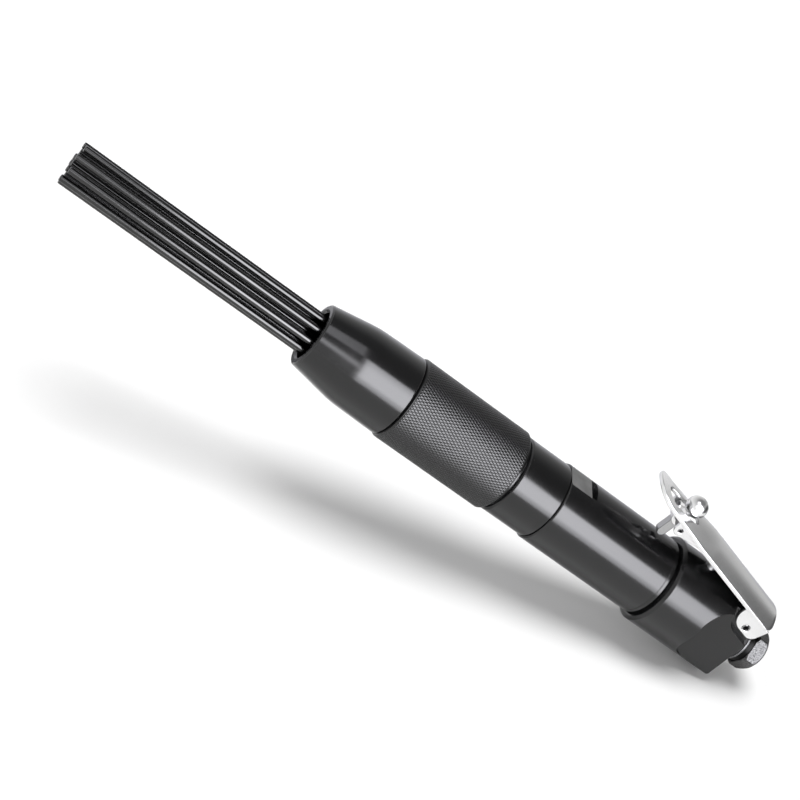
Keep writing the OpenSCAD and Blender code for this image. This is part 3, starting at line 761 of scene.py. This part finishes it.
# Lever, whose own frame has its pivot at zero and its tip at -x
LEVER_ANGLE = math.radians(14.7)
PIVOT = joint_place("lever_press")
LATCH_PIN = joint_place("latch_turn")
LEVER_T = 1.8
LEVER_HALF = 12.5
LEVER_REAR = 8
LEVER_REAR_R = 3
EDGE_V = 7.2
CROWN = 5
CROWN_TIP = 0.6
FADE = (40, 72)
CURL_START = 68
CURL_R = 95
TIP_R = 10.6
TIP_U = 72.4
SHOULDER = (66, 11.2)
TAPER_U = 50
SLOT = (55.5, 69.3)
SLOT_R = 5.4
SLOT_CORNER_R = 0.8
PLATE_EDGE = 0.35
EAR_R = 7.9
EAR_MIDDLE = (-1.3, 5)
HEEL_R = 3.8
HEEL_X = 3.7
EAR_LOW = 2.9
WEB_V = 7
EAR_Y = 12.3
EAR_T = 1.6
FLANGE_Y = 10.8
FLANGE_T = 1.6
FLANGE_PIN = (-60.8, 3.6)
FLANGE_R = 3
FLANGE_TAIL = (-43, 7)
FLANGE_FRONT = (-65, 7)
PIVOT_HOLE_R = 1.85
LATCH_HOLE_R = 1.15
TIP_STEPS = 20
CORNER_STEPS = 8
SIDE_STEPS = 70
REAR_STEPS = 14
SHEET_ROWS = 44
EAR_STEPS = (24, 14, 12)
FLANGE_STEPS = (16, 14)
PLATE_ROWS = 10


def leaning_frame(origin, angle, x, y, z):
    """A frame at an origin, turned about Y: x' = x cos a + z sin a, z' = z cos a - x sin a."""
    c, s = math.cos(angle), math.sin(angle)
    return np.stack([origin[0] + x * c + z * s, y + 0 * x, origin[2] + z * c - x * s], axis=-1)


def sheet_height(x, y):
    """Top of the sheet: an arched crown that fades out towards the front, where the sheet curls up."""
    u = -x
    t = np.clip((u - FADE[0]) / (FADE[1] - FADE[0]), 0, 1)
    crown = CROWN + (CROWN_TIP - CROWN) * t * t * (3 - 2 * t)
    curl = np.clip(u - CURL_START, 0, None) ** 2 / (2 * CURL_R)
    return EDGE_V + crown * (1 - (y / LEVER_HALF) ** 2) + curl


def make_lever():
    """The sheet between its slot and its outline, and four plates on edge: two ears and two flanges."""
    arc = np.linspace(0, np.pi / 2, TIP_STEPS)
    corner = np.linspace(np.pi / 2, 0, CORNER_STEPS)
    tip = circle((-TIP_U, 0), TIP_R, np.pi - arc)
    nose = circle((-SLOT[1], 0), SLOT_R, np.pi - arc)
    back = SLOT_R - SLOT_CORNER_R
    rear = LEVER_HALF - LEVER_REAR_R
    bend = LEVER_REAR - LEVER_REAR_R
    turn = -SLOT[0] - SLOT_CORNER_R
    shoulder = (-SHOULDER[0], SHOULDER[1])
    side = spread([tip[-1], shoulder, (-TAPER_U, LEVER_HALF), (bend, LEVER_HALF)], SIDE_STEPS)
    flank = spread([nose[-1], (turn, SLOT_R)], SIDE_STEPS)
    outer = np.concatenate([
        tip,
        side[1:-1],
        circle((bend, rear), LEVER_REAR_R, corner),
        spread([(LEVER_REAR, rear), (LEVER_REAR, 0)], REAR_STEPS)[1:],
    ])
    inner = np.concatenate([
        nose,
        flank[1:-1],
        circle((turn, back), SLOT_CORNER_R, corner),
        spread([(-SLOT[0], back), (-SLOT[0], 0)], REAR_STEPS)[1:],
    ])
    outer, inner = (np.concatenate([half, half[-2:0:-1] * (1, -1)]) for half in (outer, inner))

    def on_sheet(plan, drop):
        x, y = plan[..., 0], plan[..., 1]
        return leaning_frame(PIVOT, LEVER_ANGLE, x, y, sheet_height(x, y) - drop)

    shells = [pressed(inner, outer, LEVER_T, PLATE_EDGE, SHEET_ROWS, on_sheet)]
    top = math.asin((WEB_V - EAR_MIDDLE[1]) / EAR_R)
    web_front = (EAR_MIDDLE[0] - EAR_R * math.cos(top), WEB_V)
    ear = np.concatenate([
        circle(EAR_MIDDLE, EAR_R, np.linspace(np.pi - top, 1.5 * np.pi, EAR_STEPS[0])),
        circle((HEEL_X, HEEL_R - EAR_LOW), HEEL_R, np.linspace(-np.pi / 2, 0, EAR_STEPS[1])),
        spread([(LEVER_REAR - SMALL_R, WEB_V), web_front], EAR_STEPS[2])[:-1],
    ])
    flange_low = (FLANGE_PIN[0], FLANGE_PIN[1] - FLANGE_R)
    flange = np.concatenate([
        circle(FLANGE_PIN, FLANGE_R, np.linspace(1.5 * np.pi, np.pi, FLANGE_STEPS[0])),
        spread([FLANGE_FRONT, FLANGE_TAIL], FLANGE_STEPS[1]),
        spread([FLANGE_TAIL, flange_low], FLANGE_STEPS[1])[1:-1],
    ])
    for sign in (-1, 1):
        for outline, middle, hole, face, depth in (
            (ear, (0, 0), PIVOT_HOLE_R, EAR_Y, EAR_T),
            (flange, FLANGE_PIN, LATCH_HOLE_R, FLANGE_Y, FLANGE_T),
        ):
            def on_edge(plan, drop, face=face, sign=sign):
                x, z = plan[..., 0], plan[..., 1]
                return leaning_frame(PIVOT, LEVER_ANGLE, x, sign * (face - drop), z)

            eye = eye_of(outline, middle, hole)
            shells.append(pressed(eye, outline, depth, PLATE_EDGE, PLATE_ROWS, on_edge))
    make_piece("lever", shells)


make_lever()

# Latch and pins
FOOT_LEAN = math.radians(4)
FOOT_T = 4
FOOT_W = 4.5
FOOT_START = 2
FOOT_EDGE = 0.45
FOOT_ROWS = 8
FOOT_STEPS = (18, 8)
LATCH_BOSS_R = 3.6
LATCH_BOSS_W = 6
BOSS_EDGE = 0.3
BOSS_ROWS = 6
BOSS_SIDES = 48
BALL_LEAN = math.radians(15)
BALL_R = 5
BALL_RISE = 8.699
BALL_STEPS = 40
POST_R = 2.3
POST_SIDES = 64
NECK_R = 0.7
PIN_WALL = 0.28
PIN_SLIT = 0.7
PIN_EDGE = 0.15
PIN_BORE_EDGE = 0.1
PIN_STEPS = 40


def make_latch():
    """A foot with a round end, a boss with the pin's hole, and a post that ends in a ball."""
    r = FOOT_T / 2
    foot_len = (LATCH_PIN[2] - span("latch")[0][2] - r) / math.cos(FOOT_LEAN) + r
    low = r - foot_len
    foot = np.concatenate([
        circle((0, low), r, np.linspace(np.pi, 2 * np.pi, FOOT_STEPS[0])),
        spread([(r, low), (r, -FOOT_START)], FOOT_STEPS[1])[1:],
        spread([(-r, -FOOT_START), (-r, low)], FOOT_STEPS[1])[:-1],
    ])
    ring = circle((0, 0), LATCH_BOSS_R, round_angles(BOSS_SIDES))

    def leaning(width, lean):
        def place(plan, drop):
            return leaning_frame(LATCH_PIN, lean, plan[..., 0], width / 2 - drop, plan[..., 1])
        return place

    middle = np.repeat([[0, (low - FOOT_START) / 2]], len(foot), axis=0)
    eye = eye_of(ring, (0, 0), LATCH_HOLE_R)
    joint = math.asin(POST_R / BALL_R)
    ball = circle((BALL_RISE, 0), BALL_R, np.linspace(np.pi - joint, 0, BALL_STEPS))
    ball[-1, 1] = 0
    foot_of_post = [(0, 0), (0, POST_R), (SUPPORT, POST_R), (ball[0, 0] - NECK_R, POST_R)]
    post = np.concatenate([foot_of_post, ball])
    a = round_angles(POST_SIDES)
    rise, radius = post[:, :1], post[:, 1:]
    make_piece("latch", [
        # the foot is marked for its darker painted reflection of the barrel
        pressed(middle, foot, FOOT_W, FOOT_EDGE, FOOT_ROWS, leaning(FOOT_W, FOOT_LEAN), crest=1.0),
        pressed(eye, ring, LATCH_BOSS_W, BOSS_EDGE, BOSS_ROWS, leaning(LATCH_BOSS_W, 0)),
        shell(leaning_frame(LATCH_PIN, BALL_LEAN, radius * np.cos(a), radius * np.sin(a), rise + 0 * a)),
    ])


def make_roll_pin(node, middle):
    """A rolled pin: its wall's section, radius by length, swept round Y from slit to slit."""
    low, high = span(node)
    r = (high[0] - low[0]) / 2
    inner = r * (1 - PIN_WALL)
    section, wear = rounded([
        (low[1], r, PIN_EDGE),
        (high[1], r, PIN_EDGE),
        (high[1], inner, PIN_BORE_EDGE),
        (low[1], inner, PIN_BORE_EDGE),
    ])
    gap = PIN_SLIT / 2 / r
    a = np.linspace(np.pi / 2 + gap, 2.5 * np.pi - gap, PIN_STEPS)[:, None]
    y, radius = section[:, 0], section[:, 1]
    x, z = middle[0] + radius * np.cos(a), middle[2] + radius * np.sin(a)
    grid = np.stack([x, y + 0 * a, z], axis=-1)
    ends = [np.repeat(grid[k].mean(axis=0)[None, None], len(section), axis=1) for k in (0, -1)]
    marks = np.concatenate([[0 * wear], np.repeat(wear[None], len(a), axis=0), [0 * wear]])
    make_piece(node, [shell(np.concatenate([ends[0], grid, ends[1]]), marks)])


make_latch()
make_roll_pin("lever_pin", PIVOT)
make_roll_pin("latch_pin", LATCH_PIN)

# Inlet bushing
HEX_R = 10
HEX_LEN = 7.9
HEX_TURNED = 3.2
HEX_BOW = 1.4
HEX_FRONT = 0.7
HEX_FRONT_R = 10.4
HEX_CORNER_R = HEX_R / math.cos(math.pi / 6)
HEX_FACE_R = 8.7
HEX_EDGE = 0.18
HEX_SIDES = 240
HEX_END_STEPS = 8
BUSHING_NECK_R = 9.6
BUSHING_NECK = 3
BUSHING_THREAD_R = 8.5
INLET_R = 5.9
INLET_DEPTH = 12.2
INLET_LEAD = 0.9
THREAD_PITCH = 1.411
THREAD_DEPTH = 0.62
THREAD_STEPS = 8
THREAD_END = 0.5
THREAD_GAIN = 1.25
THREAD_FLAT = 0.12
WEB_STATIONS = (-13, -15)
WEB_R = 3.2
STRAINER_R = 5.05
SPRING_POCKET_R = 5.2


def make_bushing():
    """A hexagon on a neck with a threaded bore, as radius by station and angle.

    The hexagon's radius is half its width over cos of the angle from the nearest face. Its rear end is
    turned to corner - (corner - face) u ** bow with u from 0 to 1, so that its faces end in arcs; its front
    end is turned by a small cone. The thread's radius grows by depth times a triangle wave of
    station / pitch plus the turn, with its tops and bottoms cut flat.
    """
    x0 = span("inlet_bushing")[0][0]
    a = round_angles(HEX_SIDES)
    six = np.minimum(HEX_R / np.cos((a % (np.pi / 3)) - np.pi / 6), HEX_CORNER_R - HEX_EDGE / 2)
    drop = HEX_CORNER_R - HEX_FACE_R
    meet = ((HEX_CORNER_R - six) / drop) ** (1 / HEX_BOW)
    x_meet = -HEX_TURNED * (1 - meet)
    x_hex, x_neck = -HEX_LEN, -HEX_LEN - BUSHING_NECK
    x_front = x_hex + HEX_EDGE + HEX_FRONT * np.clip(six - HEX_FRONT_R, 0, None)
    count = int(INLET_DEPTH / THREAD_PITCH * THREAD_STEPS)
    bore_x = np.linspace(-INLET_LEAD, THREAD_END - INLET_DEPTH, count)[:, None]
    wave = np.abs((bore_x / THREAD_PITCH + a / (2 * np.pi)) % 1 * 2 - 1)
    depth = np.minimum(-bore_x - INLET_LEAD, bore_x + INLET_DEPTH - THREAD_END)
    fade = np.clip(depth / THREAD_PITCH, 0, 1)
    bore_r = INLET_R + THREAD_DEPTH * fade * np.clip(THREAD_GAIN * wave - THREAD_FLAT, 0, 1)
    outside = [
        (x0, SPRING_POCKET_R),
        (x0, BUSHING_THREAD_R),
        (x_neck, BUSHING_THREAD_R),
        (x_neck, BUSHING_NECK_R - HEX_EDGE),
        (x_neck + HEX_EDGE, BUSHING_NECK_R),
        (x_hex - HEX_EDGE, BUSHING_NECK_R),
        (x_hex, BUSHING_NECK_R + HEX_EDGE / 2),
    ]
    hexagon = [
        (x_hex, np.minimum(six - HEX_EDGE, HEX_FRONT_R)),
        (x_front, six),
        (x_front + HEX_EDGE / 2, six),
        (x_meet - 1.5 * HEX_EDGE, six),
        (x_meet - HEX_EDGE, six),
        (x_meet, six - HEX_EDGE / 4),
    ]
    for t in np.linspace(0, 1, HEX_END_STEPS)[1:]:
        u = meet + (1 - meet) * t
        hexagon.append((-HEX_TURNED * (1 - u), HEX_CORNER_R - drop * u ** HEX_BOW))
    hexagon += [
        (0, HEX_FACE_R - HEX_EDGE),
        (0, INLET_R + INLET_LEAD + HEX_EDGE),
        (-HEX_EDGE / 2, INLET_R + INLET_LEAD),
    ]
    inside = [
        (-INLET_DEPTH, INLET_R),
        (-INLET_DEPTH, STRAINER_R),
        (WEB_STATIONS[0], STRAINER_R),
        (WEB_STATIONS[0], WEB_R),
        (WEB_STATIONS[1], WEB_R),
        (WEB_STATIONS[1], SPRING_POCKET_R),
    ]
    first = [(x + 0 * a, r + 0 * a) for x, r in outside + hexagon]
    last = [(x + 0 * a, r + 0 * a) for x, r in inside]
    x = np.concatenate([[row[0] for row in first], bore_x + 0 * a, [row[0] for row in last]])
    r = np.concatenate([[row[1] for row in first], bore_r, [row[1] for row in last]])
    forged = np.zeros((len(x), 1))
    forged[len(outside):len(first)] = 1
    grid = np.stack([x, r * np.cos(a), r * np.sin(a)], axis=-1)
    make_piece("inlet_bushing", [shell(grid, forged)], black_oxide())


make_bushing()

# Springs and throttle pin
RETURN_WIRE = 2
RETURN_TURNS = 8
VALVE_WIRE = 1
VALVE_TURNS = 4
LATCH_WIRE = 0.6
LATCH_COIL_R = 1.7
LATCH_TURNS = 4
LATCH_LEG = 8
LATCH_COIL_STEPS = 24
THROTTLE_CHAMFER = 0.2
DOME_STEPS = 16
THROTTLE_SIDES = 48


def make_coil(node, wire_d, turns):
    """A coil along X that fills its node's length, on a mesh of its own."""
    low, high = span(node)
    lead = (high[0] - low[0] - wire_d) / turns
    centre, normal, tangent = helix(turns, reach(node)[2] - wire_d / 2, lead)
    centre[:, 0] += low[0] + wire_d / 2
    piece = make_piece(node, [wire(centre, normal, tangent, wire_d / 2)])
    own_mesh(piece)


def make_latch_spring():
    """The latch's torsion spring: a coil round the pin's line with a leg along the lever's underside."""
    low, high = span("latch_spring")
    lead = (high[1] - low[1] - LATCH_WIRE) / LATCH_TURNS
    path = helix(LATCH_TURNS, LATCH_COIL_R, lead, LATCH_LEG, LATCH_COIL_STEPS)
    turn = LEVER_ANGLE - np.pi / 2
    c, s = math.cos(turn), math.sin(turn)
    spin = np.array([[0, -c, s], [1, 0, 0], [0, s, c]])
    centre, normal, tangent = (vectors @ spin.T for vectors in path)
    centre = centre + (LATCH_PIN[0], low[1] + LATCH_WIRE / 2, LATCH_PIN[2])
    make_piece("latch_spring", [wire(centre, normal, tangent, LATCH_WIRE / 2)])


def make_throttle_pin():
    """A plain pin with a round top, turned on Z: (r cos a, r sin a, z)."""
    low, high = span("throttle_pin")
    r = (high[0] - low[0]) / 2
    dome = circle((high[2] - r, 0), r, np.linspace(np.pi / 2, 0, DOME_STEPS))
    dome[-1, 1] = 0
    shank = [
        (low[2], 0),
        (low[2], r - THROTTLE_CHAMFER),
        (low[2] + THROTTLE_CHAMFER, r),
        (high[2] - r - SUPPORT, r),
    ]
    outline = np.concatenate([shank, dome])
    a = round_angles(THROTTLE_SIDES)
    x = (low[0] + high[0]) / 2 + outline[:, 1:] * np.cos(a)
    y = outline[:, 1:] * np.sin(a)
    make_piece("throttle_pin", [shell(np.stack([x, y, outline[:, :1] + 0 * a], axis=-1))])


make_coil("return_spring", RETURN_WIRE, RETURN_TURNS)
make_coil("valve_spring", VALVE_WIRE, VALVE_TURNS)
make_latch_spring()
make_throttle_pin()

# Stage and light, in metres and degrees
FLOOR_SLOPE = 0.24
FLOOR_CREASE = 0.02
FLOOR_CROSSING = 0.075
FLOOR_SIZE = 30
FLOOR_SHADE = 0.9
FLOOR_LIFT = 0.02
SKY_STOPS = (
    (0.0, 1.0), (0.17, 0.95), (0.33, 0.84), (0.48, 0.74),
    (0.7, 0.55), (0.83, 0.34), (0.9, 0.21), (1.0, 0.19),
)
SKY_SIDE_STOPS = (
    (0.0, 1.0), (0.3, 1.0), (0.42, 0.7), (0.47, 0.62),
    (0.64, 0.64), (0.76, 0.8), (0.79, 0.06), (1.0, 0.1),
)
SUN_FROM = (-0.4, 0.0, 1.0)
SUN_SPREAD = 34
SUN_STRENGTH = 2.36
BOX_DISTANCE = 1.01
BOX_X = (-0.75, 0.85)
BOX_RISE = (-2.2, 90)
BOX_STEPS = (161, 93)
KEY_RADIANCE = 11
KEY_X = (-0.22, -0.18, 0.35, 0.6, 0.8)
KEY_ALONG = (0, 1, 1, 0.8, 0.6)
KEY_TOP_X = (0.086, 0.324, 0.538)
KEY_TOP = (60.5, 48, 46)
KEY_BOTTOM = -90
KEY_SOFT = 2
KEY_RISE = (-2, 9.7, 14, 42, 62)
KEY_UP = (0.38, 0.7, 0.98, 0.98, 0.62)
SIDE_X = (-0.7, -0.25)
SIDE_SOFT = 0.03
SIDE_BOXES = ((61, 87.5, 3, 2.8), (28, 40, 9, 4.6))
SCREEN_TINT = (0.99, 0.99, 1.04, 1)
CARD_X = (-0.45, -0.19, -0.03, 0.02, 0.3)
CARD_GLOW = (1.0, 1.0, 0.68, 0.5, 0.4)
CARD_Y = 0.06
CARD_Z = (-0.09, -0.035, -0.012, 0.036)
CARD_UP = (0.12, 0.3, 1.0, 1.0)
CARD_STEPS = (40, 24)


def add_sky():
    """A world that is bright at the horizon, dim overhead and dimmest towards +X."""
    world = bpy.data.worlds.new("studio")
    scene.world = world
    s = Shader(world)
    up, side = s.axes(s.node("ShaderNodeTexCoord", output="Generated"), "ZX")
    rise = s.node("ShaderNodeValToRGB", {"stops": SKY_STOPS}, {"Fac": up})
    turn = s.node("ShaderNodeValToRGB", {"stops": SKY_SIDE_STOPS}, {"Fac": side})
    light = s.node("ShaderNodeBackground", {}, {"Color": rise * turn})
    s.node("ShaderNodeOutputWorld", {}, {"Surface": light})


def add_floor():
    """A pale floor that is lifted to white where it is seen, and keeps the shadow.

    As in the photograph, the needles point away from it: under the tool it slopes so that it would cross
    the tool's axis behind the inlet, and behind the inlet it is level.
    """
    s = new_finish("floor_white")
    ray = s.node("ShaderNodeLightPath", output="Is Camera Ray")
    for kind in ("Is Glossy Ray", "Is Transmission Ray"):
        ray = ray + s.node("ShaderNodeLightPath", output=kind)
    paint = s.node("ShaderNodeBsdfDiffuse", {}, {"Color": grey(FLOOR_SHADE)})
    lift = s.node("ShaderNodeEmission", {}, {"Color": s.mix(grey(0), grey(FLOOR_LIFT), ray)})
    lifted = s.node("ShaderNodeAddShader", {}, {0: paint, 1: lift})
    s.node("ShaderNodeOutputMaterial", {}, {"Surface": lifted})
    mesh = bpy.data.meshes.new("floor")
    h = FLOOR_SIZE / 2
    x = np.array([-h, FLOOR_CREASE, h])[:, None]
    y = np.array([-h, h])[None, :]
    z = FLOOR_SLOPE * (np.minimum(x, FLOOR_CREASE) - FLOOR_CROSSING)
    corners = np.stack([x + 0 * y, y + 0 * x, z + 0 * y], axis=-1).reshape(-1, 3)
    mesh.from_pydata(corners, [], [(0, 2, 3, 1), (2, 4, 5, 3)])
    mesh.materials.append(s.owner)
    floor = bpy.data.objects.new("floor", mesh)
    scene.collection.objects.link(floor)


def within(values, low, high, soft):
    """One between low and high, falling evenly to zero across each limit over a width of soft."""
    return np.clip(np.minimum(values - low, high - values) / soft + 0.5, 0, 1)


def add_screen(name, grid, glow, clear):
    """A grid of points that glows, seen only in reflections; a clear one lets what is behind it through."""
    n, m = glow.shape
    i, j = np.indices((n - 1, m - 1))
    quads = np.stack([i * m + j, (i + 1) * m + j, (i + 1) * m + j + 1, i * m + j + 1], axis=-1)
    mesh = bpy.data.meshes.new(name)
    mesh.from_pydata(grid.reshape(-1, 3), [], quads.reshape(-1, 4))
    share = mesh.attributes.new("glow", "FLOAT", "POINT")
    share.data.foreach_set("value", glow.ravel() / glow.max())
    s = new_finish(name + "_glow")
    colour = s.mix(grey(0), SCREEN_TINT, s.mark("glow"))
    light = s.node("ShaderNodeEmission", {}, {"Color": colour, "Strength": glow.max()})
    if clear:
        light = s.node("ShaderNodeAddShader", {}, {0: light, 1: s.node("ShaderNodeBsdfTransparent")})
    s.node("ShaderNodeOutputMaterial", {}, {"Surface": light})
    mesh.materials.append(s.owner)
    screen = bpy.data.objects.new(name, mesh)
    scene.collection.objects.link(screen)
    screen.visible_camera = False
    screen.visible_diffuse = False
    screen.visible_shadow = False


def add_softboxes():
    """A screen on the camera's side round the tool's axis: (x, -d cos e, d sin e).

    Its glow by x and rise e is a key softbox with a slanted upper edge that fades downward, and two dim
    strips beyond the needles.
    """
    x = np.linspace(*BOX_X, BOX_STEPS[0])[:, None]
    rise = np.linspace(*BOX_RISE, BOX_STEPS[1])[None, :]
    e = np.radians(rise)
    y, z = -BOX_DISTANCE * np.cos(e), BOX_DISTANCE * np.sin(e)
    grid = np.stack([x + 0 * e, y + 0 * x, z + 0 * x], axis=-1)
    top = np.interp(x, KEY_TOP_X, KEY_TOP)
    shape = np.interp(rise, KEY_RISE, KEY_UP) * within(rise, KEY_BOTTOM, top, KEY_SOFT)
    glow = KEY_RADIANCE * shape * np.interp(x, KEY_X, KEY_ALONG)
    for low, high, soft, shine in SIDE_BOXES:
        strip = within(rise, low, high, soft) * within(x, *SIDE_X, SIDE_SOFT)
        glow = np.maximum(glow, shine * strip)
    add_screen("softboxes", grid, glow, True)


def add_card():
    """A low grey card that stands behind the tool, darker towards the inlet and at its foot."""
    x = np.linspace(CARD_X[0], CARD_X[-1], CARD_STEPS[0])[:, None]
    z = np.linspace(CARD_Z[0], CARD_Z[-1], CARD_STEPS[1])[None, :]
    grid = np.stack([x + 0 * z, CARD_Y + 0 * x + 0 * z, z + 0 * x], axis=-1)
    add_screen("card", grid, np.interp(x, CARD_X, CARD_GLOW) * np.interp(z, CARD_Z, CARD_UP), False)


def add_sun():
    """A wide, soft sun for the floor's shadow, left out of reflections."""
    data = bpy.data.lights.new("sun", "SUN")
    data.energy = SUN_STRENGTH
    data.angle = math.radians(SUN_SPREAD)
    sun = bpy.data.objects.new("sun", data)
    sun.rotation_euler = (-Vector(SUN_FROM)).to_track_quat("-Z", "Y").to_euler()
    sun.visible_glossy = False
    scene.collection.objects.link(sun)


add_sky()
add_floor()
add_softboxes()
add_card()
add_sun()
scene.view_settings.view_transform = "Standard"
